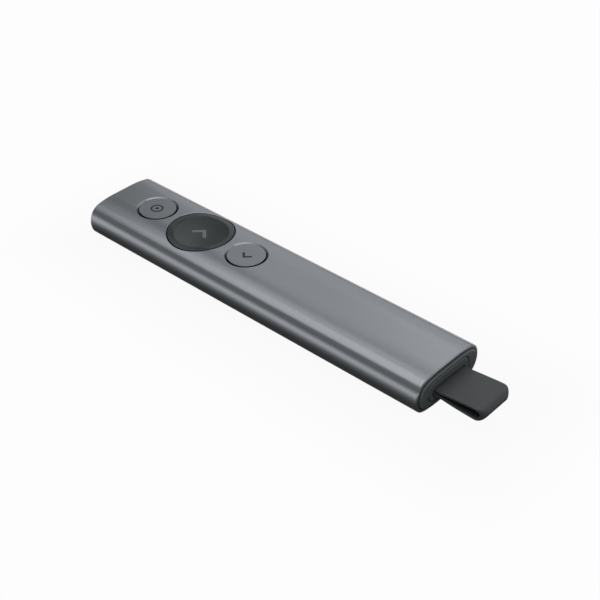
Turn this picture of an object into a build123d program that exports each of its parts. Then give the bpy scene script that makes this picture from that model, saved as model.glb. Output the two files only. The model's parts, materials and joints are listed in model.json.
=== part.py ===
from build123d import *
from math import cos, radians, sin
import os

# Wireless presentation clicker: an extruded aluminium casing with three buttons on top, and a
# plug-in radio receiver with a soft pull loop parked in its rear end.
# Millimetres. +Y is the pointing end, +Z the button side, +X to the right. The origin is in the
# middle of the underside, half-way along the body.

# ---- driving dimensions: casing -------------------------------------------------------------
body_length = 131.3         # front rim to the face of the rear end plate
body_width = 28.1
body_height = 12.1
casing_wall = 1.0
casing_edge = 0.3           # bevel round the rear rim
front_edge = 0.15           # bevel round the front rim
flat_half_width = 4.0       # flat land in the middle of top and underside
crown_turn = 12.0           # degrees turned by the large arc beside the land
shoulder_turn = 56.0        # degrees turned by the tight shoulder arc
shoulder_radius = 4.8
slide_fit = 0.05            # between the casing's bore and what slides into it

# ---- driving dimensions: buttons ------------------------------------------------------------
front_to_pointer = 16.85    # front rim to the pointer button's centre
button_spacing = 19.4
small_hole_radius = 6.25
large_hole_radius = 10.75
small_hole_edge = 0.45      # bevel round a small button's hole
large_hole_edge = 0.12
button_gap = 0.35           # between a cap and the wall of its hole
cap_recess = 0.06           # cap below the casing's skin
small_cap_thickness = 1.3
large_cap_thickness = 2.1
cap_edge = 0.15
dish_radius = 8.5           # thumb dish of the large button
dish_depth = 1.0
button_travel = 0.4
stop_gap = 0.1
carrier_inset = 0.2         # carrier smaller than its cap
lug_thickness = 0.8
lug_reach = 0.8             # lug beyond the hole, under the casing
lug_half_width = 5.0
lug_gap = 0.1               # between a lug's upright and the cap
stem_radius = 1.5
stem_fit = 0.08             # stem in the guide hole of the frame
switch_size = 4.6
switch_height = 1.6
foot_width = 0.7            # soldered feet at the switch's corners
foot_reach = 0.7
foot_thickness = 0.2
plunger_radius = 1.0
plunger_fit = 0.08
plunger_proud = 0.6
plunger_well = 1.3          # depth of the switch's well

# ---- driving dimensions: inside -------------------------------------------------------------
chassis_wall = 1.0
chassis_top = 7.7
cap_depth = 4.0             # length of the front cap inside the casing
cap_face = 1.4
cap_skirt = 0.9
board_side_gap = 1.2        # between the board's sides and the tray's walls
board_thickness = 0.8
board_bottom = 4.2
board_end_gap = 1.5         # between the board's front edge and the cap
board_tail = 10.3           # board behind the back button's centre
frame_thickness = 0.8
frame_inset = 0.25          # frame inside the casing's bore
frame_window_width = 6.0    # windows between the buttons
frame_window_margin = 3.3   # from a window's end to the line of the board's side
screw_side_inset = 1.5      # screw from the board's side
screw_end_inset = 4.2       # screw from the board's end
post_side = 3.4
screw_radius = 0.7
screw_head_radius = 1.25
screw_head_height = 0.6
screw_fit = 0.03
shield_width = 12.0
shield_length = 9.0
shield_height = 1.4
shield_wall = 0.25
antenna_width = 12.0
antenna_reach = 2.6
antenna_height = 2.0
antenna_thickness = 0.3
chip_thickness = 0.8
battery_height = 4.0
battery_round = 0.8
terrace_length = 1.6        # folded foil at the battery's front, where the leads start
battery_rib = 1.0           # thickness of the ribs beside the battery
lead_radius = 0.35
lead_sides = 8              # sealed inside, so eight sides stand for the round sleeve
lead_spacing = 2.0
plug_width = 4.2
plug_length = 3.0
plug_height = 2.2
plug_inset = 2.8            # middle of the plug inside the battery's side
tape_thickness = 0.3
motor_radius = 3.5
motor_height = 2.1
inner_gap = 0.4             # between neighbours in the tray
charge_board_inset = 0.6    # each side of the charging board inside the main board's
charge_board_tail = 2.0     # charging board in front of its socket
rail_width = 1.6
rail_inset = 2.9            # rail inside the charging board's side
flex_width = 2.4
flex_inset = 0.2
flex_gap = 0.6              # between the flat cable and the battery
flex_landing = 1.9
flex_thickness = 0.15

# ---- driving dimensions: receiver and its bay -----------------------------------------------
receiver_length = 40.4      # plug tip to the end of the loop
receiver_width = 18.1
receiver_height = 7.1
receiver_corner = 3.3
receiver_body_length = 12.5
receiver_wall = 0.9
receiver_edge = 0.4         # bevel round the body's front rim
receiver_board_tail = 1.6   # receiver's board behind its plug
end_cap_thickness = 1.5
bay_gap = 0.2               # all round the receiver
bay_wall = 0.8
bay_floor = 1.2
bay_mouth_edge = 0.2
plate_gap = 0.25            # between the end plate's rim and the casing
plate_crown = 0.5           # end plate proud of the casing's rim
plate_bevel = 0.35
plate_thickness = 2.5
bay_screw_radius = 0.5
bay_screw_head_radius = 0.75
bay_screw_head_height = 0.6
bay_screw_length = 6.0
usb_plug_width = 12.0
usb_plug_height = 4.5
usb_plug_length = 12.0
usb_plug_wall = 0.3
usb_plug_hidden = 5.0       # length of the plug inside the receiver's body
usb_plug_corner = 0.6
usb_tongue_length = 11.0
latch_window_width = 2.5
latch_window_length = 2.0
latch_window_spacing = 4.5
latch_window_middle = 6.1   # from the plug's tip
contact_pitch = 2.0         # between the inner pair; the outer pair is 3.5 pitches apart
contact_width = 1.0
contact_thickness = 0.15
contact_setback = 1.2       # from the plug's tip
usb_c_width = 8.94
usb_c_height = 3.16
usb_c_length = 7.35
usb_c_wall = 0.3
usb_c_root = 2.2            # moulded root that fills the shell's inner end
usb_c_tongue_width = 6.7
usb_c_tongue_height = 0.7
usb_c_tongue_reach = 4.4
usb_fit = 0.04              # across a USB shell and what it holds or passes through
loop_width = 13.7
loop_thickness = 0.7
loop_drop = 0.35            # strip's middle below the receiver's axis
loop_corner = 2.8           # of the fold, seen from above
loop_root_half = 0.85       # half height of the folded strip in its slot
loop_apex = 0.4             # from where the two layers part to the end plate's face
loop_middle = 6.9           # from the face to the strip's middle
loop_middle_half = 1.55     # half height there
slit_half = 0.18            # half gap between the layers where they part
fold_radius = 1.95
fold_rise = 0.1             # fold above the strip's middle
bead_radius = 1.6
loop_end_solid = 1.45       # rubber at the fold's end, beyond the void
slot_play = 0.25            # round the strip in the end cap's slot
slot_relief = 0.35          # round the slot's mouth
slot_relief_depth = 0.4
loop_pin_radius = 0.5
loop_pin_fit = 0.03

# ---- worked out from the driving dimensions -------------------------------------------------
mid_height = body_height / 2
half_width = body_width / 2
front_y = body_length / 2
rear_y = -body_length / 2
casing_rear_y = rear_y + plate_crown
side_turn = 90.0 - crown_turn - shoulder_turn

# The crown and side arcs close the quarter outline: their radii follow from its width and height.
first = radians(crown_turn)
second = radians(crown_turn + shoulder_turn)
width_left = half_width - flat_half_width - shoulder_radius * (sin(second) - sin(first))
height_left = mid_height - shoulder_radius * (cos(first) - cos(second))
share = sin(first) * cos(second) - (1 - sin(second)) * (1 - cos(first))
crown_radius = (width_left * cos(second) - height_left * (1 - sin(second))) / share
side_radius = (height_left * sin(first) - width_left * (1 - cos(first))) / share

pointer_y = front_y - front_to_pointer
next_y = pointer_y - button_spacing
back_y = next_y - button_spacing

chassis_inset = casing_wall + slide_fit
chassis_floor = chassis_inset + chassis_wall
chassis_front_y = front_y - cap_depth
frame_top = chassis_top + frame_thickness
carrier_bottom = frame_top + button_travel + stop_gap
board_width = 2 * (half_width - chassis_floor - board_side_gap)
board_top = board_bottom + board_thickness
switch_top = board_top + switch_height
plunger_top = switch_top + plunger_proud
board_front_y = chassis_front_y - board_end_gap
board_rear_y = back_y - board_tail

bay_depth = receiver_body_length + usb_plug_length + bay_gap
bay_floor_y = rear_y + bay_depth
bay_front_y = bay_floor_y + bay_floor
bay_width = receiver_width + 2 * bay_gap
bay_height = receiver_height + 2 * bay_gap
bay_corner = receiver_corner + bay_gap
bay_outer_side = bay_width / 2 + bay_wall
bay_screw_room = half_width - chassis_inset - bay_outer_side
bay_screw_x = bay_outer_side + bay_screw_room / 2
plug_tip_y = bay_floor_y - bay_gap
receiver_front_y = plug_tip_y - usb_plug_length
loop_end_y = plug_tip_y - receiver_length

usb_c_bottom = mid_height - usb_c_height / 2
charge_board_width = board_width - 2 * charge_board_inset
charge_board_front_y = bay_floor_y + usb_c_length + charge_board_tail
flex_x = charge_board_width / 2 - flex_inset - flex_width

# Behind the board come the motor and the battery, which fills the room up to the charging board.
motor_y = board_rear_y - inner_gap - motor_radius
battery_front_y = motor_y - motor_radius - inner_gap - terrace_length
battery_rear_y = charge_board_front_y + inner_gap
battery_length = battery_front_y - battery_rear_y
battery_width = 2 * (flex_x - flex_gap)
battery_bottom = chassis_floor + tape_thickness

screw_x = board_width / 2 - screw_side_inset
screw_places = [
    (side * screw_x, y)
    for y in (board_rear_y + screw_end_inset, board_front_y - screw_end_inset)
    for side in (-1, 1)
]
bay_screw_places = [(-bay_screw_x, 0), (bay_screw_x, 0)]


# ---- helpers --------------------------------------------------------------------------------
def across(y):
    """Plane across the body at y, centred on its axis; extrusions from it run to the rear."""
    return Plane(origin=(0, y, mid_height), x_dir=(1, 0, 0), z_dir=(0, -1, 0))


def oval(inset):
    """Casing outline moved inwards: flat lands and three tangent arcs in each quarter."""
    with BuildSketch() as section:
        with BuildLine():
            land = Line((0, mid_height - inset), (flat_half_width, mid_height - inset))
            crown = JernArc(land @ 1, land % 1, crown_radius - inset, -crown_turn)
            shoulder = JernArc(crown @ 1, crown % 1, shoulder_radius - inset, -shoulder_turn)
            JernArc(shoulder @ 1, shoulder % 1, side_radius - inset, -side_turn)
            mirror(about=Plane.XZ)
            mirror(about=Plane.YZ)
        make_face()
    return section.sketch


def oval_bar(front, rear, inset):
    """Solid bar with the casing's outline, used to trim pieces to the skin or to the bore."""
    with BuildPart() as bar:
        with BuildSketch(across(front)):
            add(oval(inset))
        extrude(amount=front - rear)
    return bar.part


def write(piece, name):
    """Label a finished piece and write its STEP file."""
    piece.part.label = name
    export_step(piece.part, f"parts/{name}.step")


os.makedirs("parts", exist_ok=True)


# ---- casing ---------------------------------------------------------------------------------
button_holes = [
    (pointer_y, small_hole_radius, small_hole_edge),
    (next_y, large_hole_radius, large_hole_edge),
    (back_y, small_hole_radius, small_hole_edge),
]
mid_wall = oval_bar(front_y, casing_rear_y, casing_wall / 2).solid()

with BuildPart() as casing:
    with BuildSketch(across(front_y)):
        add(oval(0))
        add(oval(casing_wall), mode=Mode.SUBTRACT)
    extrude(amount=front_y - casing_rear_y)
    chamfer(casing.faces().sort_by(Axis.Y)[0].outer_wire().edges(), casing_edge)
    chamfer(casing.faces().sort_by(Axis.Y)[-1].outer_wire().edges(), front_edge)
    for hole_y, hole_radius, hole_edge in button_holes:
        with BuildSketch(Plane.XY.offset(mid_height)):
            with Locations((0, hole_y)):
                Circle(hole_radius)
        extrude(amount=mid_height, mode=Mode.SUBTRACT)
        rims = casing.edges(Select.LAST).filter_by(GeomType.LINE, reverse=True)
        chamfer(rims.filter_by(lambda edge: not mid_wall.is_inside(edge @ 0.5)), hole_edge)
write(casing, "casing")


# ---- front cap: radio-clear plastic plug ----------------------------------------------------
with BuildPart() as front_cap:
    with BuildSketch(across(front_y)):
        add(oval(chassis_inset))
    extrude(amount=cap_depth)
    with BuildSketch(across(front_y - cap_face)):
        add(oval(chassis_inset + cap_skirt))
    extrude(amount=cap_depth - cap_face, mode=Mode.SUBTRACT)
    chamfer(front_cap.faces().sort_by(Axis.Y)[-1].outer_wire().edges(), front_edge)
write(front_cap, "front_cap")


# ---- chassis: moulded tray that slides into the casing --------------------------------------
rail_x = charge_board_width / 2 - rail_inset - rail_width / 2
rib_x = battery_width / 2 + inner_gap + battery_rib / 2
with BuildPart() as chassis:
    with BuildSketch(across(chassis_front_y)):
        add(oval(chassis_inset))
        add(oval(chassis_floor), mode=Mode.SUBTRACT)
        with Locations((0, chassis_top - mid_height)):
            Rectangle(body_width, body_height, align=(Align.CENTER, Align.MIN), mode=Mode.SUBTRACT)
    extrude(amount=chassis_front_y - bay_front_y)
    # posts that carry the board
    with BuildSketch(Plane.XY.offset(chassis_inset)):
        with Locations(*screw_places):
            Rectangle(post_side, post_side)
    extrude(amount=board_bottom - chassis_inset)
    # rails that carry the charging board
    with BuildSketch(Plane.XY.offset(chassis_inset)):
        with Locations((-rail_x, bay_front_y), (rail_x, bay_front_y)):
            Rectangle(
                rail_width, charge_board_front_y - bay_front_y, align=(Align.CENTER, Align.MIN)
            )
    extrude(amount=usb_c_bottom - board_thickness - chassis_inset)
    # ribs along both sides of the battery
    with BuildSketch(Plane.XY.offset(chassis_inset)):
        with Locations((-rib_x, battery_rear_y), (rib_x, battery_rear_y)):
            Rectangle(battery_rib, battery_length, align=(Align.CENTER, Align.MIN))
    extrude(amount=2 * chassis_wall)
    # bosses for the two screws that hold the receiver bay
    with BuildSketch(across(bay_front_y + bay_screw_length)):
        with Locations(*bay_screw_places):
            Circle(bay_screw_room / 2)
    extrude(amount=bay_screw_length)
    add(oval_bar(chassis_front_y, bay_front_y, chassis_inset), mode=Mode.INTERSECT)
    with BuildSketch(Plane.XY.offset(board_bottom)):
        with Locations(*screw_places):
            Circle(screw_radius + screw_fit)
    extrude(amount=-(board_bottom - chassis_floor), mode=Mode.SUBTRACT)
    with BuildSketch(across(bay_front_y)):
        with Locations(*bay_screw_places):
            Circle(bay_screw_radius + screw_fit)
    extrude(amount=-(bay_screw_length - 0.8), mode=Mode.SUBTRACT)
write(chassis, "chassis")


# ---- circuit board and what is soldered to it -----------------------------------------------
with BuildPart() as main_board:
    with BuildSketch(Plane.XY.offset(board_bottom)):
        with Locations((0, board_rear_y)):
            Rectangle(board_width, board_front_y - board_rear_y, align=(Align.CENTER, Align.MIN))
        with Locations(*screw_places):
            Circle(screw_radius + screw_fit, mode=Mode.SUBTRACT)
    extrude(amount=board_thickness)
    chamfer(main_board.edges().filter_by(Axis.Z).group_by(Axis.Y)[-1], 1.5)
write(main_board, "main_board")

shield_y = (pointer_y + next_y) / 2
chips_y = (next_y + back_y) / 2
with BuildPart() as shield_can:
    with BuildSketch(Plane.XY.offset(board_top)):
        with Locations((0, shield_y)):
            RectangleRounded(shield_width, shield_length, 2 * shield_wall)
    extrude(amount=shield_height)
    with BuildSketch(Plane.XY.offset(board_top)):
        with Locations((0, shield_y)):
            RectangleRounded(
                shield_width - 2 * shield_wall, shield_length - 2 * shield_wall, shield_wall
            )
    extrude(amount=shield_height - shield_wall, mode=Mode.SUBTRACT)
write(shield_can, "shield_can")

chips = [
    (0, shield_y, 6.0, 6.0, chip_thickness),    # radio processor, under the shield
    (5.8, chips_y, 3.0, 3.0, 0.9),    # motion sensor
    (-5.6, chips_y, 4.0, 4.0, chip_thickness),    # memory
    (5.4, back_y - 5.2, 3.0, 2.2, chip_thickness),      # motor driver
    (7.2, next_y, 3.2, 1.5, 0.7),           # crystal
    (-7.2, next_y, 2.0, 1.2, 0.6),
    (-7.2, next_y + 3.0, 2.0, 1.2, 0.6),
]
with BuildPart() as board_chips:
    for chip_x, chip_y, chip_width, chip_length, chip_height in chips:
        with BuildSketch(Plane.XY.offset(board_top)):
            with Locations((chip_x, chip_y)):
                Rectangle(chip_width, chip_length)
        extrude(amount=chip_height)
write(board_chips, "board_chips")

with BuildPart() as antenna:
    antenna_front = board_front_y - 0.6
    with BuildSketch(Plane.XY.offset(board_top)):
        with Locations((0, antenna_front)):
            Rectangle(antenna_width, antenna_thickness, align=(Align.CENTER, Align.MAX))
    extrude(amount=antenna_height)
    # meander: three windows in the folded-over strip
    with BuildSketch(Plane.XY.offset(board_top + antenna_height - antenna_thickness)):
        with Locations((0, antenna_front)):
            Rectangle(antenna_width, antenna_reach, align=(Align.CENTER, Align.MAX))
        with Locations((0, antenna_front - antenna_reach / 2)):
            with GridLocations(antenna_width / 3, 1, 3, 1):
                Rectangle(antenna_width / 5, antenna_reach / 2, mode=Mode.SUBTRACT)
    extrude(amount=antenna_thickness)
write(antenna, "antenna")


# ---- button frame: guides the stems and clamps the board ------------------------------------
with BuildPart() as button_frame:
    frame_rear_y = board_rear_y + 2.0
    frame_front_y = board_front_y - 0.4
    frame_window_length = board_width - 2 * frame_window_margin
    with BuildSketch(Plane.XY.offset(chassis_top)):
        with Locations((0, frame_rear_y)):
            Rectangle(body_width, frame_front_y - frame_rear_y, align=(Align.CENTER, Align.MIN))
        with Locations((0, pointer_y), (0, next_y), (0, back_y)):
            Circle(stem_radius + stem_fit, mode=Mode.SUBTRACT)
        for middle in ((pointer_y + next_y) / 2, (next_y + back_y) / 2):
            with Locations((0, middle)):
                Rectangle(frame_window_length, frame_window_width, mode=Mode.SUBTRACT)
    extrude(amount=frame_thickness)
    with BuildSketch(Plane.XY.offset(board_top)):
        with Locations(*screw_places):
            Rectangle(post_side, post_side)
    extrude(amount=chassis_top - board_top)
    add(oval_bar(front_y, rear_y, chassis_inset + frame_inset), mode=Mode.INTERSECT)
    with BuildSketch(Plane.XY.offset(frame_top)):
        with Locations(*screw_places):
            Circle(screw_radius + screw_fit)
    extrude(amount=-(frame_top - board_top), mode=Mode.SUBTRACT)
write(button_frame, "button_frame")

with BuildPart() as frame_screws:
    with BuildSketch(Plane.XY.offset(frame_top)):
        with Locations(*screw_places):
            Circle(screw_head_radius)
    extrude(amount=screw_head_height)
    with BuildSketch(Plane.XY.offset(frame_top)):
        with Locations(*screw_places):
            Circle(screw_radius)
    extrude(amount=-(frame_top - chassis_floor - 0.3))
write(frame_screws, "frame_screws")


# ---- the three buttons, each with its switch ------------------------------------------------
def dish_cutter(centre_y):
    """Shallow sphere that meets the crown at the dish's sides, with a bevel to the rim's rest."""
    cap_skin = body_height - cap_recess
    skin_radius = crown_radius - cap_recess
    run = dish_radius - flat_half_width
    dish_rim = cap_skin - skin_radius + (skin_radius**2 - run**2) ** 0.5
    dish_floor = cap_skin - dish_depth
    rise = dish_rim - dish_floor
    dish_sphere = (dish_radius**2 + rise**2) / (2 * rise)
    upright = (Align.CENTER, Align.CENTER, Align.MIN)
    with BuildPart() as cutter:
        with Locations((0, centre_y, dish_floor + dish_sphere)):
            Sphere(dish_sphere, rotation=(90, 0, 0))
        with Locations((0, centre_y, dish_floor)):
            Cylinder(dish_radius, body_height, align=upright, mode=Mode.INTERSECT)
        with Locations((0, centre_y, dish_rim)):
            Cone(dish_radius, dish_radius + body_height, body_height, align=upright)
    return cutter.part


def make_button(name, centre_y, hole_radius, cap_thickness, dished):
    """Cap flush with the casing, carrier with two lugs under the casing, plunger and switch."""
    cap_radius = hole_radius - button_gap
    cap_skin = body_height - cap_recess
    cap_bottom = cap_skin - cap_thickness
    lug_radius = hole_radius + lug_reach

    with BuildPart() as cap:
        with BuildSketch(Plane.XY.offset(cap_bottom)):
            with Locations((0, centre_y)):
                Circle(cap_radius)
        extrude(amount=body_height)
        add(oval_bar(front_y, rear_y, cap_recess), mode=Mode.INTERSECT)
        chamfer(cap.faces().sort_by(Axis.Z)[0].edges(), cap_edge)
        if dished:
            add(dish_cutter(centre_y), mode=Mode.SUBTRACT)
    write(cap, f"{name}_cap")

    with BuildPart() as carrier:
        with BuildSketch(Plane.XY.offset(carrier_bottom)):
            with Locations((0, centre_y)):
                Circle(cap_radius - carrier_inset)
        extrude(amount=cap_bottom - carrier_bottom)
        with BuildSketch(Plane.XY.offset(carrier_bottom)):
            with Locations((0, centre_y)):
                Circle(lug_radius)
                Rectangle(2 * lug_half_width, 2 * lug_radius, mode=Mode.INTERSECT)
        extrude(amount=lug_thickness)
        with BuildSketch(Plane.XY.offset(carrier_bottom)):
            with Locations((0, centre_y)):
                Circle(lug_radius)
                Circle(cap_radius + lug_gap, mode=Mode.SUBTRACT)
                Rectangle(2 * lug_half_width, 2 * lug_radius, mode=Mode.INTERSECT)
        extrude(amount=body_height - carrier_bottom)
        add(oval_bar(front_y, rear_y, chassis_inset), mode=Mode.INTERSECT)
        with BuildSketch(Plane.XY.offset(carrier_bottom)):
            with Locations((0, centre_y)):
                Circle(stem_radius)
        extrude(amount=-(carrier_bottom - plunger_top))
    write(carrier, f"{name}_carrier")

    with BuildPart() as plunger:
        with BuildSketch(Plane.XY.offset(plunger_top)):
            with Locations((0, centre_y)):
                Circle(plunger_radius)
        extrude(amount=-(plunger_proud + plunger_well - button_travel - stop_gap))
    write(plunger, f"{name}_plunger")

    with BuildPart() as switch:
        with BuildSketch(Plane.XY.offset(board_top)):
            with Locations((0, centre_y)):
                Rectangle(switch_size, switch_size)
        extrude(amount=switch_height)
        chamfer(switch.edges().filter_by(Axis.Z), 0.5)
        with BuildSketch(Plane.XY.offset(board_top)):
            with Locations((0, centre_y)):
                with GridLocations(switch_size, switch_size / 2, 2, 2):
                    Rectangle(2 * foot_reach, foot_width)
        extrude(amount=foot_thickness)
        with BuildSketch(Plane.XY.offset(switch_top)):
            with Locations((0, centre_y)):
                Circle(plunger_radius + plunger_fit)
        extrude(amount=-plunger_well, mode=Mode.SUBTRACT)
    write(switch, f"{name}_switch")


make_button("pointer", pointer_y, small_hole_radius, small_cap_thickness, dished=False)
make_button("next", next_y, large_hole_radius, large_cap_thickness, dished=True)
make_button("back", back_y, small_hole_radius, small_cap_thickness, dished=False)


# ---- battery, its leads and the vibration motor ---------------------------------------------
with BuildPart() as battery_tape:
    with BuildSketch(Plane.XY.offset(chassis_floor)):
        with Locations((0, battery_rear_y + 1.0)):
            Rectangle(
                2 * flat_half_width - 0.4, battery_length - 2.0, align=(Align.CENTER, Align.MIN)
            )
    extrude(amount=tape_thickness)
write(battery_tape, "battery_tape")

with BuildPart() as battery:
    with BuildSketch(Plane.XY.offset(battery_bottom)):
        with Locations((0, battery_rear_y)):
            Rectangle(battery_width, battery_length, align=(Align.CENTER, Align.MIN))
    extrude(amount=battery_height)
    fillet(battery.edges().filter_by(Axis.Y), battery_round)
    with BuildSketch(Plane.XY.offset(battery_bottom + battery_height - 1.6)):
        with Locations((0, battery_front_y - battery_round)):
            Rectangle(
                battery_width - 2.0, terrace_length + battery_round, align=(Align.CENTER, Align.MIN)
            )
    extrude(amount=1.0)
write(battery, "battery")

plug_x = plug_inset - battery_width / 2
plug_rear_y = board_rear_y + 0.5
lead_z = board_top + plug_height / 2
terrace_front_y = battery_front_y + terrace_length
terrace_middle_z = battery_bottom + battery_height - 1.1
with BuildPart() as battery_plug:
    with BuildSketch(Plane.XY.offset(board_top)):
        with Locations((plug_x, plug_rear_y)):
            Rectangle(plug_width, plug_length, align=(Align.CENTER, Align.MIN))
    extrude(amount=plug_height)
    chamfer(battery_plug.faces().sort_by(Axis.Z)[-1].edges(), 0.2)
write(battery_plug, "battery_plug")

with BuildPart() as battery_leads:
    for lead_x in (plug_x - lead_spacing / 2, plug_x + lead_spacing / 2):
        run = plug_rear_y - terrace_front_y
        with BuildLine() as route:
            Polyline(
                (lead_x, terrace_front_y, terrace_middle_z),
                (lead_x, terrace_front_y + run / 3, terrace_middle_z),
                (lead_x, plug_rear_y - run / 3, lead_z),
                (lead_x, plug_rear_y, lead_z),
            )
        with BuildSketch(Plane(origin=route.line @ 0, z_dir=route.line % 0)):
            RegularPolygon(lead_radius, lead_sides)
        sweep(path=route.line, transition=Transition.RIGHT)
write(battery_leads, "battery_leads")

with BuildPart() as motor_pad:
    with BuildSketch(Plane.XY.offset(chassis_floor)):
        with Locations((0, motor_y)):
            Circle(motor_radius - 0.3)
    extrude(amount=tape_thickness)
write(motor_pad, "motor_pad")

with BuildPart() as vibration_motor:
    with BuildSketch(Plane.XY.offset(battery_bottom)):
        with Locations((0, motor_y)):
            Circle(motor_radius)
    extrude(amount=motor_height)
    chamfer(vibration_motor.faces().sort_by(Axis.Z)[-1].edges(), 0.3)
write(vibration_motor, "vibration_motor")


# ---- charging board, socket and the flat cable to the main board ----------------------------
charge_board_bottom = usb_c_bottom - board_thickness
charge_board_rear_y = bay_front_y + 0.2
with BuildPart() as charge_board:
    with BuildSketch(Plane.XY.offset(charge_board_bottom)):
        with Locations((0, charge_board_rear_y)):
            Rectangle(
                charge_board_width,
                charge_board_front_y - charge_board_rear_y,
                align=(Align.CENTER, Align.MIN),
            )
        # notches for the tray's two bosses
        with Locations((-bay_screw_x, charge_board_rear_y), (bay_screw_x, charge_board_rear_y)):
            Rectangle(bay_screw_room + 2 * inner_gap, 2 * bay_screw_length, mode=Mode.SUBTRACT)
    extrude(amount=board_thickness)
write(charge_board, "charge_board")

charge_chip_x = (usb_c_width + charge_board_width) / 4
charge_chip_width = 2.4
charge_chip_length = 3.0
with BuildPart() as charge_chips:
    for side in (-1, 1):
        with BuildSketch(Plane.XY.offset(usb_c_bottom)):
            with Locations((side * charge_chip_x, bay_front_y + usb_c_length / 2)):
                Rectangle(charge_chip_width, charge_chip_length)
        extrude(amount=chip_thickness)
write(charge_chips, "charge_chips")

usb_c_bore_width = usb_c_width - 2 * usb_c_wall
usb_c_bore_height = usb_c_height - 2 * usb_c_wall
with BuildPart() as usb_c_shell:
    with BuildSketch(across(bay_floor_y + usb_c_length)):
        SlotOverall(usb_c_width, usb_c_height)
        SlotOverall(usb_c_bore_width, usb_c_bore_height, mode=Mode.SUBTRACT)
    extrude(amount=usb_c_length)
write(usb_c_shell, "usb_c_shell")

with BuildPart() as usb_c_tongue:
    with BuildSketch(across(bay_floor_y + usb_c_length)):
        SlotOverall(usb_c_bore_width - usb_fit, usb_c_bore_height - usb_fit)
    extrude(amount=usb_c_root)
    with BuildSketch(across(bay_floor_y + usb_c_length - usb_c_root)):
        Rectangle(usb_c_tongue_width, usb_c_tongue_height)
    extrude(amount=usb_c_tongue_reach)
write(usb_c_tongue, "usb_c_tongue")

with BuildPart() as flex_cable:
    with BuildSketch(Plane.YZ.offset(flex_x)):
        flex_low = [
            (charge_board_front_y - flex_landing, usb_c_bottom),
            (charge_board_front_y + 1.0, usb_c_bottom),
            (board_rear_y - 1.0, board_top),
            (board_rear_y + flex_landing, board_top),
        ]
        flex_high = [(y, z + flex_thickness) for y, z in reversed(flex_low)]
        with BuildLine():
            Polyline(*flex_low, *flex_high, close=True)
        make_face()
    extrude(amount=flex_width)
write(flex_cable, "flex_cable")


# ---- receiver bay: domed end plate, pocket and front flange in one moulding ------------------
with BuildPart() as receiver_bay:
    with BuildSketch(across(rear_y + plate_thickness)):
        add(oval(casing_wall + plate_gap))
    extrude(amount=plate_thickness)
    chamfer(receiver_bay.faces().sort_by(Axis.Y)[0].edges(), plate_bevel)
    with BuildSketch(across(bay_front_y)):
        RectangleRounded(bay_width + 2 * bay_wall, bay_height + 2 * bay_wall, bay_corner + bay_wall)
    extrude(amount=bay_front_y - rear_y - plate_thickness)
    with BuildSketch(across(bay_front_y)):
        add(oval(chassis_inset))
    extrude(amount=bay_floor)
    with BuildSketch(across(bay_floor_y)):
        RectangleRounded(bay_width, bay_height, bay_corner)
    extrude(amount=bay_depth, mode=Mode.SUBTRACT)
    chamfer(receiver_bay.faces().sort_by(Axis.Y)[0].inner_wires().edges(), bay_mouth_edge)
    with BuildSketch(across(bay_front_y)):
        SlotOverall(usb_c_width + 0.1, usb_c_height + 0.1)
        with Locations(*bay_screw_places):
            Circle(bay_screw_radius + screw_fit)
    extrude(amount=bay_floor, mode=Mode.SUBTRACT)
write(receiver_bay, "receiver_bay")

with BuildPart() as bay_screws:
    with BuildSketch(across(bay_floor_y)):
        with Locations(*bay_screw_places):
            Circle(bay_screw_head_radius)
    extrude(amount=bay_screw_head_height)
    with BuildSketch(across(bay_floor_y)):
        with Locations(*bay_screw_places):
            Circle(bay_screw_radius)
    extrude(amount=-(bay_screw_length - 0.2))
write(bay_screws, "bay_screws")


# ---- receiver: moulded body, end cap, metal plug and what they hold --------------------------
receiver_inner_corner = receiver_corner - receiver_wall
receiver_inner = (receiver_width - 2 * receiver_wall, receiver_height - 2 * receiver_wall)
with BuildPart() as receiver_shell:
    with BuildSketch(across(receiver_front_y)):
        RectangleRounded(receiver_width, receiver_height, receiver_corner)
    extrude(amount=receiver_body_length - end_cap_thickness)
    chamfer(receiver_shell.faces().sort_by(Axis.Y)[-1].edges(), receiver_edge)
    with BuildSketch(across(receiver_front_y - receiver_wall)):
        RectangleRounded(*receiver_inner, receiver_inner_corner)
    extrude(
        amount=receiver_body_length - end_cap_thickness - receiver_wall, mode=Mode.SUBTRACT
    )
    with BuildSketch(across(receiver_front_y)):
        RectangleRounded(usb_plug_width + usb_fit, usb_plug_height + usb_fit, usb_plug_corner)
    extrude(amount=receiver_wall, mode=Mode.SUBTRACT)
write(receiver_shell, "receiver_shell")

slot_width = loop_width + 2 * slot_play
slot_height = 2 * (loop_root_half + slot_play)
with BuildPart() as receiver_end_cap:
    with BuildSketch(across(rear_y + end_cap_thickness)):
        RectangleRounded(receiver_width, receiver_height, receiver_corner)
    extrude(amount=end_cap_thickness)
    chamfer(receiver_end_cap.faces().sort_by(Axis.Y)[0].edges(), 0.2)
    with BuildSketch(across(rear_y)):
        with Locations((0, -loop_drop)):
            RectangleRounded(
                slot_width + 2 * slot_relief, slot_height + 2 * slot_relief, slot_height / 2
            )
    extrude(amount=-slot_relief_depth, mode=Mode.SUBTRACT)
    with BuildSketch(across(rear_y)):
        with Locations((0, -loop_drop)):
            Rectangle(slot_width, slot_height)
    extrude(amount=-end_cap_thickness, mode=Mode.SUBTRACT)
write(receiver_end_cap, "receiver_end_cap")

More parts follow.
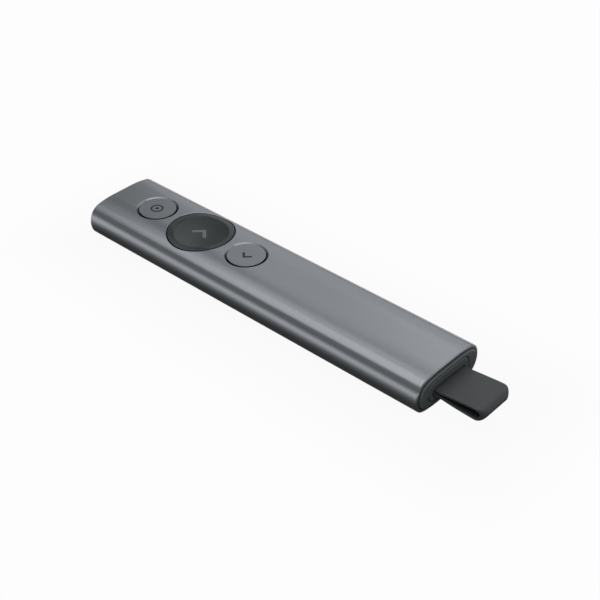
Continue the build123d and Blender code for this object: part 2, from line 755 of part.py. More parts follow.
plug_outline = (usb_plug_width, usb_plug_height)
plug_bore = (usb_plug_width - 2 * usb_plug_wall, usb_plug_height - 2 * usb_plug_wall)
with BuildPart() as plug_shell:
    with BuildSketch(across(plug_tip_y)):
        RectangleRounded(*plug_outline, usb_plug_corner)
        RectangleRounded(*plug_bore, usb_plug_corner - usb_plug_wall, mode=Mode.SUBTRACT)
    extrude(amount=usb_plug_length + usb_plug_hidden)
    # latch windows, two in each broad face
    with BuildSketch(Plane.XY.offset(mid_height - usb_plug_height)):
        with Locations((0, plug_tip_y - latch_window_middle)):
            with GridLocations(latch_window_spacing, 1, 2, 1):
                Rectangle(latch_window_width, latch_window_length)
    extrude(amount=2 * usb_plug_height, mode=Mode.SUBTRACT)
write(plug_shell, "plug_shell")

tongue_bottom = mid_height + 0.05
contact_bottom = tongue_bottom - contact_thickness
with BuildPart() as plug_tongue:
    with BuildSketch(Plane.XY.offset(tongue_bottom)):
        with Locations((0, plug_tip_y - 0.3)):
            Rectangle(plug_bore[0] - 0.1, usb_tongue_length, align=(Align.CENTER, Align.MAX))
    extrude(amount=mid_height + plug_bore[1] / 2 - 0.02 - tongue_bottom)
    chamfer(plug_tongue.edges().filter_by(Axis.Y).group_by(Axis.Z)[-1], 0.3)
write(plug_tongue, "plug_tongue")

contact_places = [
    (share * contact_pitch, plug_tip_y - contact_setback) for share in (-1.75, -0.5, 0.5, 1.75)
]
with BuildPart() as plug_contacts:
    with BuildSketch(Plane.XY.offset(contact_bottom)):
        with Locations(*contact_places):
            Rectangle(
                contact_width, usb_tongue_length - contact_width, align=(Align.CENTER, Align.MAX)
            )
    extrude(amount=contact_thickness)
write(plug_contacts, "plug_contacts")

receiver_board_front = plug_tip_y - usb_tongue_length + board_thickness
receiver_board_rear = receiver_front_y - usb_plug_hidden - receiver_board_tail
with BuildPart() as receiver_board:
    with BuildSketch(Plane.XY.offset(contact_bottom - board_thickness)):
        with Locations((0, receiver_board_rear)):
            Rectangle(
                plug_bore[0] - 0.6,
                receiver_board_front - receiver_board_rear,
                align=(Align.CENTER, Align.MIN),
            )
    extrude(amount=board_thickness)
write(receiver_board, "receiver_board")

receiver_chip_width = 3.6
receiver_chip_length = 3.0
with BuildPart() as receiver_chip:
    with BuildSketch(Plane.XY.offset(contact_bottom)):
        with Locations((0, receiver_front_y - receiver_chip_length)):
            Rectangle(receiver_chip_width, receiver_chip_length)
    extrude(amount=chip_thickness)
write(receiver_chip, "receiver_chip")


# ---- pull loop: soft strip folded back on itself, its bead trapped behind the end cap ---------
bead_y = rear_y + end_cap_thickness + bead_radius + 0.1
strip_height = mid_height - loop_drop


def strip_outline(start_y, start_half, depth, end_y):
    """Side view of the folded strip at depth below its skin, about its middle plane."""
    bend = fold_radius - depth
    with BuildSketch() as outline:
        with BuildLine():
            upper = Spline(
                (start_y, start_half),
                (rear_y - loop_middle, loop_middle_half - depth),
                (end_y + bend, fold_rise + bend),
                tangents=((-1, 0), (-1, 0)),
            )
            fold = ThreePointArc(upper @ 1, (end_y, fold_rise), (end_y + bend, fold_rise - bend))
            lower = Spline(
                fold @ 1,
                (rear_y - loop_middle, depth - loop_middle_half),
                (start_y, -start_half),
                tangents=((1, 0), (1, 0)),
            )
            Line(lower @ 1, upper @ 0)
        make_face()
    return outline.sketch


with BuildPart() as pull_loop:
    with BuildSketch(Plane((-loop_width / 2, 0, strip_height), x_dir=(0, 1, 0), z_dir=(1, 0, 0))):
        add(strip_outline(bead_y, loop_root_half, 0, loop_end_y))
        with Locations((bead_y, 0)):
            Circle(bead_radius)
        void_end_y = loop_end_y + loop_end_solid
        void = strip_outline(rear_y + loop_apex, slit_half, loop_thickness, void_end_y)
        add(void, mode=Mode.SUBTRACT)
        with Locations((bead_y, 0)):
            Circle(loop_pin_radius + loop_pin_fit, mode=Mode.SUBTRACT)
    extrude(amount=loop_width)
    with BuildSketch() as plan:
        with Locations((0, loop_end_y)):
            Rectangle(loop_width, receiver_length, align=(Align.CENTER, Align.MIN))
        fillet(plan.vertices().group_by(Axis.Y)[0], loop_corner)
    extrude(amount=body_height, mode=Mode.INTERSECT)
write(pull_loop, "pull_loop")

with BuildPart() as loop_pin:
    with BuildSketch(Plane.YZ.offset(-receiver_inner[0] / 2 + 0.1)):
        with Locations((bead_y, strip_height)):
            Circle(loop_pin_radius)
    extrude(amount=receiver_inner[0] - 0.2)
write(loop_pin, "loop_pin")
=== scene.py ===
import json
import math

import bmesh
import bpy
from mathutils import Matrix, Vector
from mathutils.bvhtree import BVHTree


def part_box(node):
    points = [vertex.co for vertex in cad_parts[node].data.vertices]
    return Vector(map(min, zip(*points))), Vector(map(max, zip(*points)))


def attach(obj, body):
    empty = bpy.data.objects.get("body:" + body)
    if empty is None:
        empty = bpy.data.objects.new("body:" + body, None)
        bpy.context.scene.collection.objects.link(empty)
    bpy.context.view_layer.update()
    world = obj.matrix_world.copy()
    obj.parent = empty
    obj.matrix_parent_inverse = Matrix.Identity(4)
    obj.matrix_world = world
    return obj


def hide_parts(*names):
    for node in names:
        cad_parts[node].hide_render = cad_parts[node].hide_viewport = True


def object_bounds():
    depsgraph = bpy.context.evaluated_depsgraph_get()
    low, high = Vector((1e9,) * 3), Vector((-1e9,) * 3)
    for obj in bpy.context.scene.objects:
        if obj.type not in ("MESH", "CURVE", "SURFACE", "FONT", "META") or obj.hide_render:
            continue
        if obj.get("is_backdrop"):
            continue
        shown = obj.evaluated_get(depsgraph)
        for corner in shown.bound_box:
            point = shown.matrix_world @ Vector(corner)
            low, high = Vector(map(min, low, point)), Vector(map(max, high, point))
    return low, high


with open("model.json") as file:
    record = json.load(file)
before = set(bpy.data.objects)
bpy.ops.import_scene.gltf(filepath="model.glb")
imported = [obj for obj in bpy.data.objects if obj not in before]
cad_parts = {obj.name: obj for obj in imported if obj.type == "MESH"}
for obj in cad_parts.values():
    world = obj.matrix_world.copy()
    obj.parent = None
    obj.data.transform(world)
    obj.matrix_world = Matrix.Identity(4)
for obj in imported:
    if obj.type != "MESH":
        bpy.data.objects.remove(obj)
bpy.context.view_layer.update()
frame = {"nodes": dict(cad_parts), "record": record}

# Looks of a presentation remote: bead-blasted anodised casing, moulded plastic, soft pull loop.
# Metres, in the frame's own axes: +Y is the pointing end and +Z the button side.
MM = 0.001

# ---- signs on the buttons, in millimetres; places are X and Y, seen from above -----------------
SIGN_PROUD = 0.02           # above the cap's skin
SIGN_SUNK = 0.05            # below it
SIGN_STEP = 0.25            # longest edge of a sign's mesh
SIGN_ROUNDS = 6             # most times that its long edges are halved
POINTER_SIGN = (-0.15, 48.95)
RING_RADIUS = 1.81          # to the middle of its stroke
RING_STROKE = 0.56
RING_STEPS = 40
DOT_RADIUS = 0.60
DOT_STEPS = 20
NEXT_CHEVRON = ((-1.00, 32.31), (1.70, 29.61), (-1.00, 26.91))
NEXT_STROKE = 1.04
BACK_CHEVRON = ((0.40, 11.5), (-1.30, 9.8), (0.40, 8.1))
BACK_STROKE = 0.74
RAY_START = 50              # height above everything, from where a cap's skin is felt for

# ---- pull loop, in millimetres -----------------------------------------------------------------
STRIP = 0.7                 # thickness of the folded strip
ROOT_HALF = 0.85            # half height of the folded strip in its slot
ROOT_RUN = 0.3              # straight run between the bead and the strip's curve
LOOP_APEX = 0.4             # from where the two layers part to the end plate's face
SLIT_HALF = 0.18            # half gap between the layers there
LOOP_MIDDLE = 6.9           # from the face to the strip's middle
LOOP_MIDDLE_HALF = 1.55     # half height there
FOLD_RADIUS = 1.95
FOLD_SOLID = 1.45           # rubber at the fold's end, beyond the void
PLAN_CORNER = 2.8           # rounded corners of the fold, seen from above
SOFT_EDGE = 0.22            # round along the strip's edges
SOFT_CORNER = 0.75          # round at the fold's corners
BEAD_RADIUS = 1.6           # bead that holds the strip behind the receiver's end cap
PIN_RADIUS = 0.53           # hole in the bead
CURVE_STEPS = 14
FOLD_STEPS = 32
BEAD_STEPS = 28
PIN_STEPS = 24
EDGE_STEPS = 6

# ---- stage: lengths in metres, brightness as a share of plain white ----------------------------
FLOOR_SIZE = 12
FLOOR_DROP = 0.02 * MM      # below the object
FLOOR_WHITE = 0.95          # colour that the light falls on
FLOOR_GLOW = 0.94           # share of plain white in what the camera, reflections and glass see
# The shade card is painted shade: a faint dark-grey glow round the object that stands in for the
# floor's shadow in reflections and scattered light.
CARD_DROP = 0.01 * MM
CARD_REACH = 35 * MM        # shade round the object on the floor
PAINTED_SHADE_GREY = 0.07
ROOM = 0.27                 # above the horizon
HORIZON_LEFT = 1.25         # ahead on the left
HORIZON_RIGHT = 0.15        # ahead on the right
HORIZON_BEHIND = 0.10

# The room's brightness changes between these two X, Y or Z parts of a direction.
LEFT_TO_RIGHT = (-0.7, 0.1)
BEHIND_TO_AHEAD = (-0.35, 0.15)
HORIZON_TO_ROOM = (0.09, 0.17)

# Area lamps: name, size, brightness, place of the middle, and the way they face.
DOWN = (0, 0, -1)
LEFTWARD = (-1, 0, 0)
SOFTBOXES = (
    ("overhead", (0.91, 1.76), 0.84, (-0.075, -0.12, 0.8), DOWN),
    ("overhead_rear", (0.91, 1.40), 0.12, (-0.075, -0.30, 0.81), DOWN),
    ("side_low", (2.59, 0.65), 0.45, (1.05, -0.205, 0.525), LEFTWARD),
    ("side_high", (2.79, 0.85), 0.45, (1.05, -0.105, 1.275), LEFTWARD),
    ("side_rear", (1.05, 1.00), 0.32, (1.06, 0.18, 1.25), LEFTWARD),
)

# ---- camera, fitted to the photo's outline -----------------------------------------------------
AZIMUTH = -48.354           # degrees from straight behind the object; negative is to the left
ELEVATION = 36.705          # degrees above the floor
ROLL = 0.148                # degrees that the camera is turned about its own view
DISTANCE = 370.666          # millimetres from the casing's middle, back along the view
ASIDE = 8.645               # millimetres to the right of that line
BELOW = 4.739               # millimetres below it
LENS = 74.502               # focal length in millimetres
SENSOR = 36                 # width in millimetres
NEAREST = 10 * MM           # nearest place that the camera sees


# ---- node building blocks ----------------------------------------------------------------------
class Nodes:
    """A node tree with short calls that add nodes and link them."""

    # First value, second value and result of a Mix node, by number: its kinds share their names.
    MIX_SOCKETS = {"FLOAT": (2, 3, 0), "RGBA": (6, 7, 2)}

    def __init__(self, tree):
        self.tree = tree

    def add(self, kind, **settings):
        node = self.tree.nodes.new(kind)
        for key, value in settings.items():
            setattr(node, key, value)
        return node

    def plug(self, value, node, socket):
        """Link an output to a node's socket, or set that socket to a number or a colour."""
        if isinstance(value, bpy.types.NodeSocket):
            self.tree.links.new(value, node.inputs[socket])
        else:
            node.inputs[socket].default_value = value

    def maths(self, operation, *values):
        node = self.add("ShaderNodeMath", operation=operation)
        for socket, value in enumerate(values):
            self.plug(value, node, socket)
        return node.outputs[0]

    def mix(self, kind, share, first, second):
        """Number (FLOAT) or colour (RGBA) between two others."""
        first_socket, second_socket, result = self.MIX_SOCKETS[kind]
        node = self.add("ShaderNodeMix", data_type=kind)
        self.plug(share, node, 0)
        self.plug(first, node, first_socket)
        self.plug(second, node, second_socket)
        return node.outputs[result]

    def ranged(self, value, span, at_start, at_end, course="SMOOTHSTEP"):
        """Number that goes from at_start to at_end while the value goes through its span."""
        node = self.add("ShaderNodeMapRange", interpolation_type=course)
        self.plug(value, node, "Value")
        self.plug(span[0], node, "From Min")
        self.plug(span[1], node, "From Max")
        self.plug(at_start, node, "To Min")
        self.plug(at_end, node, "To Max")
        return node.outputs["Result"]

    def parts_of(self, place):
        """The X, Y and Z outputs of a place or a direction."""
        parts = self.add("ShaderNodeSeparateXYZ")
        self.plug(place, parts, 0)
        return parts.outputs

    def seen_by(self, *kinds):
        """1 for rays of those kinds, which are outputs of Light Path, and 0 for all others."""
        path = self.add("ShaderNodeLightPath")
        seen = path.outputs[kinds[0]]
        for kind in kinds[1:]:
            seen = self.maths("MAXIMUM", seen, path.outputs[kind])
        return seen


class Look(Nodes):
    """A material of the object. Places are the piece's own coordinates, in metres."""

    # Most of a noise's values lie between these two.
    NOISE_SPAN = (0.3, 0.7)

    def __init__(self, name):
        self.material = bpy.data.materials.new(name)
        self.material.use_nodes = True
        super().__init__(self.material.node_tree)
        self.shader = self.tree.nodes["Principled BSDF"]
        self.place = self.add("ShaderNodeTexCoord").outputs["Object"]

    def set(self, **values):
        """Constant sockets of the shader; a key's underscores stand for spaces."""
        for key, value in values.items():
            self.plug(value, self.shader, key.replace("_", " "))

    def noise(self, size, detail=2.0, stretch=(1, 1, 1)):
        """Noise with spots of that size in metres, stretched along the axes."""
        mapping = self.add("ShaderNodeMapping")
        self.plug(self.place, mapping, "Vector")
        self.plug([1 / s for s in stretch], mapping, "Scale")
        noise = self.add("ShaderNodeTexNoise")
        self.plug(mapping.outputs["Vector"], noise, "Vector")
        self.plug(1 / size, noise, "Scale")
        self.plug(detail, noise, "Detail")
        return noise.outputs["Fac"]

    def spread(self, pattern, low, high):
        """Pattern's usual values, spread over low to high."""
        return self.ranged(pattern, self.NOISE_SPAN, low, high, course="LINEAR")

    def mottle(self, pattern, colour, dark, pale):
        """Colour that a pattern takes from dark to pale, as factors of its own brightness."""
        return self.mix("RGBA", self.spread(pattern, 0, 1), tinted(colour, dark), tinted(colour, pale))

    def veil(self, under, pattern, most, over):
        """Colour that a pattern lays over another, by the share most where it is high."""
        return self.mix("RGBA", self.spread(pattern, 0, most), under, over)

    def colour(self, output):
        self.plug(output, self.shader, "Base Color")

    def roughness(self, output):
        self.plug(output, self.shader, "Roughness")

    def relief(self, height, depth):
        """Bump of that depth in metres."""
        node = self.add("ShaderNodeBump")
        self.plug(height, node, "Height")
        self.plug(depth, node, "Distance")
        self.plug(node.outputs["Normal"], self.shader, "Normal")


class StageLook(Nodes):
    """Material of a stage piece: a mix of two plain shaders."""

    def __init__(self, name):
        self.material = bpy.data.materials.new(name)
        self.material.use_nodes = True
        super().__init__(self.material.node_tree)
        self.tree.nodes.clear()

    def plain(self, kind, grey):
        """Shader of one grey, from 0 to 1."""
        shader = self.add(kind)
        self.plug((grey, grey, grey, 1), shader, "Color")
        return shader.outputs[0]

    def surface(self, share, first, second):
        """Ends the tree with the second shader mixed into the first by that share."""
        mix = self.add("ShaderNodeMixShader")
        for socket, output in enumerate((share, first, second)):
            self.plug(output, mix, socket)
        self.plug(mix.outputs[0], self.add("ShaderNodeOutputMaterial"), "Surface")


def tinted(colour, factor):
    """Colour with its brightness times that factor, as red, green, blue and full cover."""
    return (*(min(1.0, c * factor) for c in colour), 1)


# ---- objects -----------------------------------------------------------------------------------
def dress(piece, material):
    piece.data.materials.clear()
    piece.data.materials.append(material)


def added(name, data):
    """New object in the scene, with that mesh, lamp or camera."""
    thing = bpy.data.objects.new(name, data)
    bpy.context.scene.collection.objects.link(thing)
    return thing


def new_piece(name, shape, material):
    """New object with that shape, which is a bmesh and is used up."""
    mesh = bpy.data.meshes.new(name)
    shape.to_mesh(mesh)
    shape.free()
    piece = added(name, mesh)
    dress(piece, material)
    return piece


# ---- materials ---------------------------------------------------------------------------------
def anodised(name, colour, roughness):
    """Bead-blasted, anodised aluminium: fine even grain, faint clouding of the dye."""
    look = Look(name)
    look.set(Metallic=1.0)
    cloud = look.noise(size=14 * MM, detail=3, stretch=(1, 3, 1))
    grain = look.noise(size=0.11 * MM)
    dyed = look.mottle(cloud, colour, dark=0.975, pale=1.025)
    look.colour(look.veil(dyed, grain, most=0.12, over=tinted(colour, 1.3)))
    look.roughness(look.spread(grain, roughness - 0.02, roughness + 0.03))
    look.relief(grain, depth=0.0012 * MM)
    return look.material


def moulded(name, colour, roughness, grain_size=0.16 * MM, depth=0.003 * MM):
    """Moulded plastic with a spark-eroded grain."""
    look = Look(name)
    grain = look.noise(grain_size, detail=3)
    cloud = look.noise(size=6 * MM)
    mottled = look.mottle(grain, colour, dark=0.92, pale=1.08)
    look.colour(look.veil(mottled, cloud, most=0.5, over=tinted(colour, 1.1)))
    look.roughness(look.spread(grain, roughness - 0.05, roughness + 0.05))
    look.relief(grain, depth)
    return look.material


def soft_rubber(name, colour):
    """Matt silicone: velvety, with fine dust-like mottling."""
    look = Look(name)
    look.set(Sheen_Weight=0.05, Sheen_Roughness=0.4, IOR=1.53)
    grain = look.noise(size=0.09 * MM, detail=3)
    cloud = look.noise(size=3.5 * MM, detail=3)
    mottled = look.mottle(grain, colour, dark=0.93, pale=1.07)
    look.colour(look.veil(mottled, cloud, most=0.6, over=tinted(colour, 1.12)))
    look.roughness(look.spread(cloud, 0.46, 0.54))
    look.relief(grain, depth=0.004 * MM)
    return look.material


def metal(name, colour, roughness, stretch):
    """Plated or drawn metal with faint lines along its longer stretch."""
    look = Look(name)
    look.set(Metallic=1.0)
    lines = look.noise(size=0.12 * MM, detail=4, stretch=stretch)
    look.colour(look.mottle(lines, colour, dark=0.93, pale=1.04))
    look.roughness(look.spread(lines, roughness - 0.06, roughness + 0.08))
    look.relief(lines, depth=0.0015 * MM)
    return look.material


def solder_mask(name, colour):
    """Circuit board: copper tracks that show through the green lacquer."""
    look = Look(name)
    look.set(Coat_Weight=0.4, Coat_Roughness=0.25)
    tracks = look.add("ShaderNodeTexBrick", offset=0.37, squash=0.6)
    look.plug(look.place, tracks, "Vector")
    look.plug(1.0, tracks, "Scale")
    look.plug(1.9 * MM, tracks, "Brick Width")
    look.plug(0.55 * MM, tracks, "Row Height")
    look.plug(0.07 * MM, tracks, "Mortar Size")
    shown = tracks.outputs["Fac"]
    look.colour(look.mix("RGBA", shown, tinted(colour, 1), tinted(colour, 1.9)))
    look.roughness(look.spread(look.noise(size=0.5 * MM), 0.32, 0.45))
    look.relief(shown, depth=0.02 * MM)
    return look.material


def foil(name, colour):
    """Laminated battery foil with soft creases."""
    look = Look(name)
    look.set(Metallic=0.9)
    creases = look.noise(size=2.2 * MM, detail=5, stretch=(1, 1.6, 1))
    look.colour(look.mottle(creases, colour, dark=0.88, pale=1.05))
    look.roughness(look.spread(creases, 0.24, 0.4))
    look.relief(creases, depth=0.12 * MM)
    return look.material


def foam(name, colour):
    """Closed-cell foam: small round cells."""
    look = Look(name)
    cell_size = 0.22 * MM
    cells = look.add("ShaderNodeTexVoronoi")
    look.plug(look.place, cells, "Vector")
    look.plug(1 / cell_size, cells, "Scale")
    wall = cells.outputs["Distance"]
    look.colour(look.mix("RGBA", wall, tinted(colour, 1.3), tinted(colour, 0.6)))
    look.roughness(look.spread(wall, 0.8, 0.95))
    look.relief(wall, depth=0.05 * MM)
    return look.material


# ---- materials of the frame's pieces, by the record's slots ------------------------------------
FINE_GRAIN = dict(grain_size=0.1 * MM, depth=0.002 * MM)
EPOXY_GRAIN = dict(grain_size=0.08 * MM, depth=0.002 * MM)
FILM_GRAIN = dict(grain_size=0.5 * MM, depth=0.004 * MM)

SLOT_LOOKS = {
    "anodised_shell": lambda slot: anodised(slot, (0.307, 0.326, 0.350), roughness=0.25),
    "anodised_cap": lambda slot: anodised(slot, (0.270, 0.286, 0.311), roughness=0.31),
    "button_plastic": lambda slot: moulded(slot, (0.016, 0.0245, 0.026), roughness=0.23),
    "dark_plastic": lambda slot: moulded(slot, (0.086, 0.098, 0.100), roughness=0.45),
    "inner_plastic": lambda slot: moulded(slot, (0.045, 0.046, 0.049), roughness=0.55),
    "circuit_board": lambda slot: solder_mask(slot, (0.010, 0.060, 0.035)),
    "chip_black": lambda slot: moulded(slot, (0.022, 0.022, 0.024), roughness=0.5, **EPOXY_GRAIN),
    "plated_steel": lambda slot: metal(slot, (0.60, 0.60, 0.58), roughness=0.26, stretch=(1, 6, 1)),
    "contact_gold": lambda slot: metal(slot, (0.80, 0.60, 0.26), roughness=0.22, stretch=(1, 8, 1)),
    "battery_foil": lambda slot: foil(slot, (0.68, 0.69, 0.71)),
    "foam_tape": lambda slot: foam(slot, (0.05, 0.05, 0.05)),
    "flex_film": lambda slot: moulded(slot, (0.42, 0.17, 0.03), roughness=0.3, **FILM_GRAIN),
    "lead_sleeve": lambda slot: moulded(slot, (0.36, 0.02, 0.02), roughness=0.4, **FINE_GRAIN),
    "soft_rubber": lambda slot: soft_rubber(slot, (0.0390, 0.0448, 0.0480)),
}
looks = {slot: make(slot) for slot, make in SLOT_LOOKS.items()}

for subpart in frame["record"]["subparts"]:
    dress(frame["nodes"][subpart["node"]], looks[subpart["material_slot"]])


# ---- signs on the buttons ----------------------------------------------------------------------
def circle(centre, radius, steps):
    turns = [2 * math.pi * i / steps for i in range(steps)]
    return [(centre[0] + radius * math.cos(t), centre[1] + radius * math.sin(t)) for t in turns]


def chevron(corners, stroke):
    """Outline of a bent bar of that width, whose middle line has those three corners."""
    start, apex, end = (Vector(c) for c in corners)
    half = stroke / 2
    along_in = (apex - start).normalized()
    along_out = (end - apex).normalized()
    side_in = Vector((-along_in.y, along_in.x)) * half
    side_out = Vector((-along_out.y, along_out.x)) * half
    mitre = (side_in + side_out) * (half**2 / (half**2 + side_in.dot(side_out)))
    left = [start + side_in, apex + mitre, end + side_out]
    right = [end - side_out, apex - mitre, start - side_in]
    return [tuple(p) for p in left + right]


def flat_shape(outlines):
    """Flat mesh that faces up, with short edges, between an outer outline and those of its holes."""
    shape = bmesh.new()
    for outline in outlines:
        corners = [shape.verts.new((x * MM, y * MM, 0)) for x, y in outline]
        for i, corner in enumerate(corners):
            shape.edges.new((corner, corners[(i + 1) % len(corners)]))
    bmesh.ops.triangle_fill(shape, use_beauty=True, edges=shape.edges)
    for _ in range(SIGN_ROUNDS):
        long_edges = [e for e in shape.edges if e.calc_length() > SIGN_STEP * MM]
        if not long_edges:
            break
        bmesh.ops.subdivide_edges(shape, edges=long_edges, cuts=1)
        bmesh.ops.triangulate(shape, faces=shape.faces)
    for face in shape.faces:
        if face.normal.z < 0:
            face.normal_flip()
    return shape


def skin_of(node):
    """Search tree of a CAD node's faces, to find its skin from above."""
    mesh = frame["nodes"][node].data
    corners = [v.co.copy() for v in mesh.vertices]
    return BVHTree.FromPolygons(corners, [tuple(p.vertices) for p in mesh.polygons])


def sign(name, outlines, node, body, material):
    """Thin inlay in a cap's skin, with those outlines in millimetres; it rides on the cap's body."""
    shape = flat_shape(outlines)
    skin = skin_of(node)
    for corner in list(shape.verts):
        hit = skin.ray_cast(Vector((corner.co.x, corner.co.y, RAY_START * MM)), Vector(DOWN))
        corner.co.z = hit[0].z + SIGN_PROUD * MM
    grown = bmesh.ops.extrude_face_region(shape, geom=shape.faces[:])
    for part in grown["geom"]:
        if isinstance(part, bmesh.types.BMVert):
            part.co.z -= (SIGN_PROUD + SIGN_SUNK) * MM
    bmesh.ops.recalc_face_normals(shape, faces=shape.faces)
    piece = new_piece(name, shape, material)
    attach(piece, body)


sign_dark = moulded("sign_dark", (0.004, 0.005, 0.008), roughness=0.5, **FINE_GRAIN)
sign_pale = moulded("sign_pale", (0.136, 0.146, 0.146), roughness=0.5, **FINE_GRAIN)
ring_radii = (RING_RADIUS + RING_STROKE / 2, RING_RADIUS - RING_STROKE / 2)
ring = [circle(POINTER_SIGN, radius, RING_STEPS) for radius in ring_radii]
dot = circle(POINTER_SIGN, DOT_RADIUS, DOT_STEPS)

sign("pointer_sign_ring", ring, "pointer_cap", "pointer_button", sign_dark)
sign("pointer_sign_dot", [dot], "pointer_cap", "pointer_button", sign_dark)
sign("next_sign", [chevron(NEXT_CHEVRON, NEXT_STROKE)], "next_cap", "next_button", sign_pale)
sign("back_sign", [chevron(BACK_CHEVRON, BACK_STROKE)], "back_cap", "back_button", sign_dark)


# ---- pull loop: side views are Y and the height above the strip's middle plane, in millimetres --
def arc(centre_y, radius, first, last, steps):
    """Arc about a place on the middle plane, between two turns in degrees."""
    turns = [math.radians(first + (last - first) * i / steps) for i in range(steps + 1)]
    return [(centre_y + radius * math.cos(t), radius * math.sin(t)) for t in turns]


def hermite(first, last, slope_in, slope_out):
    """Curve from first to last with those slopes, without its last point."""
    run = last[0] - first[0]
    points = []
    for i in range(CURVE_STEPS):
        t = i / CURVE_STEPS
        rise = (2 * t**3 - 3 * t**2 + 1) * first[1] + (3 * t**2 - 2 * t**3) * last[1]
        lean = (t**3 - 2 * t**2 + t) * slope_in + (t**3 - t**2) * slope_out
        points.append((first[0] + run * t, rise + lean * run))
    return points


def layer(start, middle, fold):
    """One side of the strip: out from its start, past its middle, to the fold."""
    slope = (fold[1] - start[1]) / (fold[0] - start[0])
    return hermite(start, middle, 0, slope) + hermite(middle, fold, slope, 0)


def strip_side(start, middle, bend, tip_y, fold_z):
    """Closed side view of the strip or of its void: out on top, round the fold, back below.

    bend is the fold's radius, and fold_z its centre's height.
    """
    half_turn = arc(tip_y + bend, bend, 90, 270, FOLD_STEPS)
    fold = [(y, z + fold_z) for y, z in half_turn]
    upper = layer(start, middle, fold[0])
    lower = layer((start[0], -start[1]), (middle[0], -middle[1]), fold[-1])
    return upper + fold + lower[:0:-1]


def loop_outlines(tip_y, bead_front_y, low_z):
    """Side views of the strip with its bead, of the void in the fold and of the pin's hole."""
    face_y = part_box("receiver_end_cap")[0].y / MM
    bead_y = bead_front_y - BEAD_RADIUS
    middle_y = face_y - LOOP_MIDDLE
    # the bead is as high below the middle plane as above it, and the fold hangs under it
    fold_z = low_z + FOLD_RADIUS

    bead_turn = math.degrees(math.asin(ROOT_HALF / BEAD_RADIUS))
    bead = arc(bead_y, BEAD_RADIUS, bead_turn - 180, 180 - bead_turn, BEAD_STEPS)
    root = (bead[-1][0] - ROOT_RUN, ROOT_HALF)
    outer = bead + strip_side(root, (middle_y, LOOP_MIDDLE_HALF), FOLD_RADIUS, tip_y, fold_z)
    void = strip_side(
        (face_y + LOOP_APEX, SLIT_HALF),
        (middle_y, LOOP_MIDDLE_HALF - STRIP),
        FOLD_RADIUS - STRIP,
        tip_y + FOLD_SOLID,
        fold_z,
    )
    return outer, void, circle((bead_y, 0), PIN_RADIUS, PIN_STEPS)


def corner_rounds(outline, tip_y):
    """Round of the strip's edge at each point, which grows towards the fold's corners."""
    rounds = []
    for y, _ in outline:
        share = min(1.0, max(0.0, (tip_y + PLAN_CORNER - y) / PLAN_CORNER))
        smooth = share * share * (3 - 2 * share)
        rounds.append(SOFT_EDGE + (SOFT_CORNER - SOFT_EDGE) * smooth)
    return rounds


def moved_in(outline, depths):
    """Outline with each point moved by its depth to the left of its run."""
    moved = []
    for i, ((y, z), depth) in enumerate(zip(outline, depths)):
        ahead = outline[(i + 1) % len(outline)]
        behind = outline[i - 1]
        along = Vector((ahead[0] - behind[0], ahead[1] - behind[1])).normalized()
        moved.append((y - along.y * depth, z + along.x * depth))
    return moved


def join(shape, near, far):
    """Band of faces between two rings of corners."""
    for i in range(len(near)):
        j = (i + 1) % len(near)
        shape.faces.new((near[i], near[j], far[j], far[i]))


def fill_side(shape, side):
    """Close the side at -X or +X between its rims, which are laid flat while it is filled."""
    rim = [e for e in shape.edges if e.is_boundary and e.verts[0].co.x * side > 0]
    places = {v: v.co.x for e in rim for v in e.verts}
    for corner in places:
        corner.co.x = 0
    filled = bmesh.ops.triangle_fill(shape, use_beauty=True, edges=rim)
    assert filled["geom"], "a side of the pull loop stays open"
    for corner, x in places.items():
        corner.co.x = x


def soft_band(sides, half_width_at, middle_z):
    """Side view drawn across the band's width, with round edges.

    sides holds pairs of an outline and its edge's round at each point, and half_width_at gives
    half the band's width at a place along it.
    """
    shape = bmesh.new()

    def ring_at(outline, rounds, side, step):
        """One ring of the round edge: the first lies in the outline, the last bounds the side."""
        turn = math.pi / 2 * step / EDGE_STEPS
        moved = moved_in(outline, [edge * (1 - math.cos(turn)) for edge in rounds])
        corners = []
        for (y, z), edge in zip(moved, rounds):
            x = half_width_at(y) - edge * (1 - math.sin(turn))
            corners.append(shape.verts.new((side * x * MM, y * MM, (z + middle_z) * MM)))
        return corners

    for outline, rounds in sides:
        rings = [ring_at(outline, rounds, -1, step) for step in range(EDGE_STEPS, -1, -1)]
        rings += [ring_at(outline, rounds, 1, step) for step in range(EDGE_STEPS + 1)]
        for near, far in zip(rings, rings[1:]):
            join(shape, near, far)
    fill_side(shape, -1)
    fill_side(shape, 1)
    bmesh.ops.recalc_face_normals(shape, faces=shape.faces)
    return shape


def make_loop():
    """Soft strip folded back on itself, whose bead sits round the pin."""
    low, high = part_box("pull_loop")
    pin_low, pin_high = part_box("loop_pin")
    tip_y = low.y / MM
    middle_z = (pin_low.z + pin_high.z) / 2 / MM
    outer, void, pin = loop_outlines(tip_y, high.y / MM, low.z / MM - middle_z)

    def half_width_at(y):
        """Half width of the strip, seen from above, where its fold has rounded corners."""
        from_tip = min(PLAN_CORNER, max(0.0, y - tip_y))
        straight = high.x / MM - PLAN_CORNER
        return straight + math.sqrt(PLAN_CORNER**2 - (PLAN_CORNER - from_tip) ** 2)

    sides = [(outer, corner_rounds(outer, tip_y))]
    sides += [(hole[::-1], [SOFT_EDGE] * len(hole)) for hole in (void, pin)]
    shape = soft_band(sides, half_width_at, middle_z)
    piece = new_piece("pull_strip", shape, looks["soft_rubber"])
    for face in piece.data.polygons:
        face.use_smooth = True
    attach(piece, "receiver")
    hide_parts("pull_loop")


make_loop()


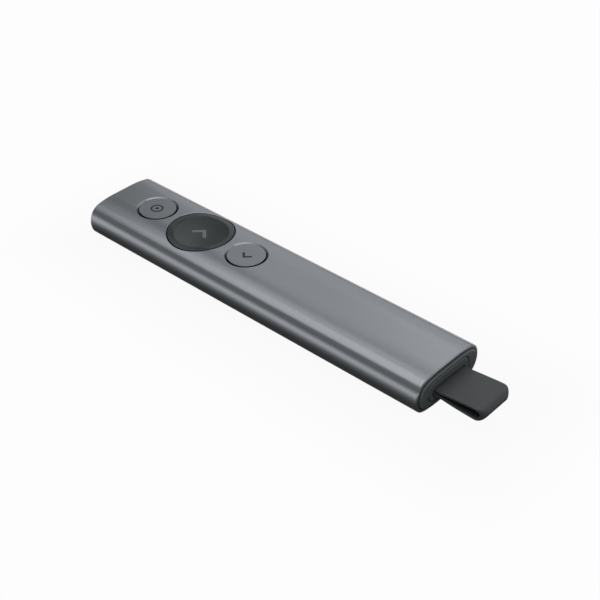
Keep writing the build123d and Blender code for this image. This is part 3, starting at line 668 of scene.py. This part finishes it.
# ---- stage, light and camera -------------------------------------------------------------------
def make_floor():
    """White floor that keeps the object's shadow; it glows for the camera, reflections and glass."""
    bpy.ops.mesh.primitive_plane_add(size=FLOOR_SIZE, location=(0, 0, -FLOOR_DROP))
    floor = bpy.context.object
    floor.name = "floor"
    look = StageLook("floor_white")
    seen = look.seen_by("Is Camera Ray", "Is Glossy Ray", "Is Transmission Ray")
    share = look.maths("MULTIPLY", seen, FLOOR_GLOW)
    lit = look.plain("ShaderNodeBsdfDiffuse", FLOOR_WHITE)
    look.surface(share, lit, look.plain("ShaderNodeEmission", 1))
    dress(floor, look.material)
    floor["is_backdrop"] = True


def make_card():
    """Dark card on the floor round the object, in its own shade: painted shade that stands in for the
    object's shadow on the floor.

    Reflections and scattered light see it and the camera doesn't, so the casing's lower side reflects
    a dark floor close by, as it does in the photo.
    """
    low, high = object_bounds()
    middle = (low + high) / 2
    half = (high - low) / 2
    bpy.ops.mesh.primitive_grid_add(x_subdivisions=2, y_subdivisions=2, size=1)
    card = bpy.context.object
    card.name = "shade_card"
    card.location = (middle.x, middle.y, -CARD_DROP)
    card.scale = (2 * (half.x + CARD_REACH), 2 * (half.y + CARD_REACH), 1)

    look = StageLook("shade_card")
    parts = look.parts_of(look.add("ShaderNodeNewGeometry").outputs["Position"])
    fades = []
    for axis in (0, 1):
        away = look.maths("ABSOLUTE", look.maths("SUBTRACT", parts[axis], middle[axis]))
        fades.append(look.ranged(away, (half[axis], half[axis] + CARD_REACH), 1, 0))
    clear = look.plain("ShaderNodeBsdfTransparent", 1)
    # painted shade: the card glows this dark grey where the object's shadow falls, fading out with
    # distance from the object
    dark = look.plain("ShaderNodeEmission", PAINTED_SHADE_GREY)
    look.surface(look.maths("MULTIPLY", *fades), clear, dark)
    dress(card, look.material)
    card.visible_camera = False
    card.visible_shadow = False
    card.visible_transmission = False
    card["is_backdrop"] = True


def make_world():
    """Dim room whose horizon is bright ahead on the left; the camera and glass see plain white."""
    world = bpy.data.worlds.new("studio")
    bpy.context.scene.world = world
    world.use_nodes = True
    nodes = Nodes(world.node_tree)
    across, along, up = nodes.parts_of(nodes.add("ShaderNodeTexCoord").outputs["Generated"])
    ahead = nodes.ranged(across, LEFT_TO_RIGHT, HORIZON_LEFT, HORIZON_RIGHT)
    horizon = nodes.ranged(along, BEHIND_TO_AHEAD, HORIZON_BEHIND, ahead)
    room = nodes.ranged(up, HORIZON_TO_ROOM, horizon, ROOM)
    seen = nodes.seen_by("Is Camera Ray", "Is Transmission Ray")
    background = nodes.tree.nodes["Background"]
    nodes.plug(nodes.mix("FLOAT", seen, room, 1), background, "Strength")
    nodes.plug((1, 1, 1, 1), background, "Color")


def make_softbox(name, size, brightness, place, facing):
    """Area lamp that a mirror would show with that brightness."""
    lamp = bpy.data.lights.new(name, "AREA")
    lamp.shape = "RECTANGLE"
    lamp.size, lamp.size_y = size
    lamp.energy = size[0] * size[1] * math.pi * brightness
    softbox = added(name, lamp)
    softbox.location = place
    softbox.rotation_euler = Vector(facing).to_track_quat("-Z", "Y").to_euler()


def make_camera():
    azimuth, elevation, roll = (math.radians(a) for a in (AZIMUTH, ELEVATION, ROLL))
    back = Vector((
        math.sin(azimuth) * math.cos(elevation),
        -math.cos(azimuth) * math.cos(elevation),
        math.sin(elevation),
    ))
    right = (-back).cross(Vector((0, 0, 1))).normalized()
    up = right.cross(-back)
    middle_z = sum(corner.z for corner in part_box("casing")) / 2
    place = (back * DISTANCE + right * ASIDE - up * BELOW) * MM + Vector((0, 0, middle_z))
    level = right * math.cos(roll) + up * math.sin(roll)
    upright = up * math.cos(roll) - right * math.sin(roll)
    turn = Matrix((level, upright, back)).transposed().to_4x4()

    lens = bpy.data.cameras.new("camera")
    lens.sensor_width = SENSOR
    lens.lens = LENS
    lens.clip_start = NEAREST
    camera = added("camera", lens)
    camera.matrix_world = Matrix.Translation(place) @ turn
    bpy.context.scene.camera = camera


make_floor()
make_card()
make_world()
for softbox in SOFTBOXES:
    make_softbox(*softbox)
make_camera()
bpy.context.scene.view_settings.view_transform = "Standard"

bpy.context.view_layer.update()
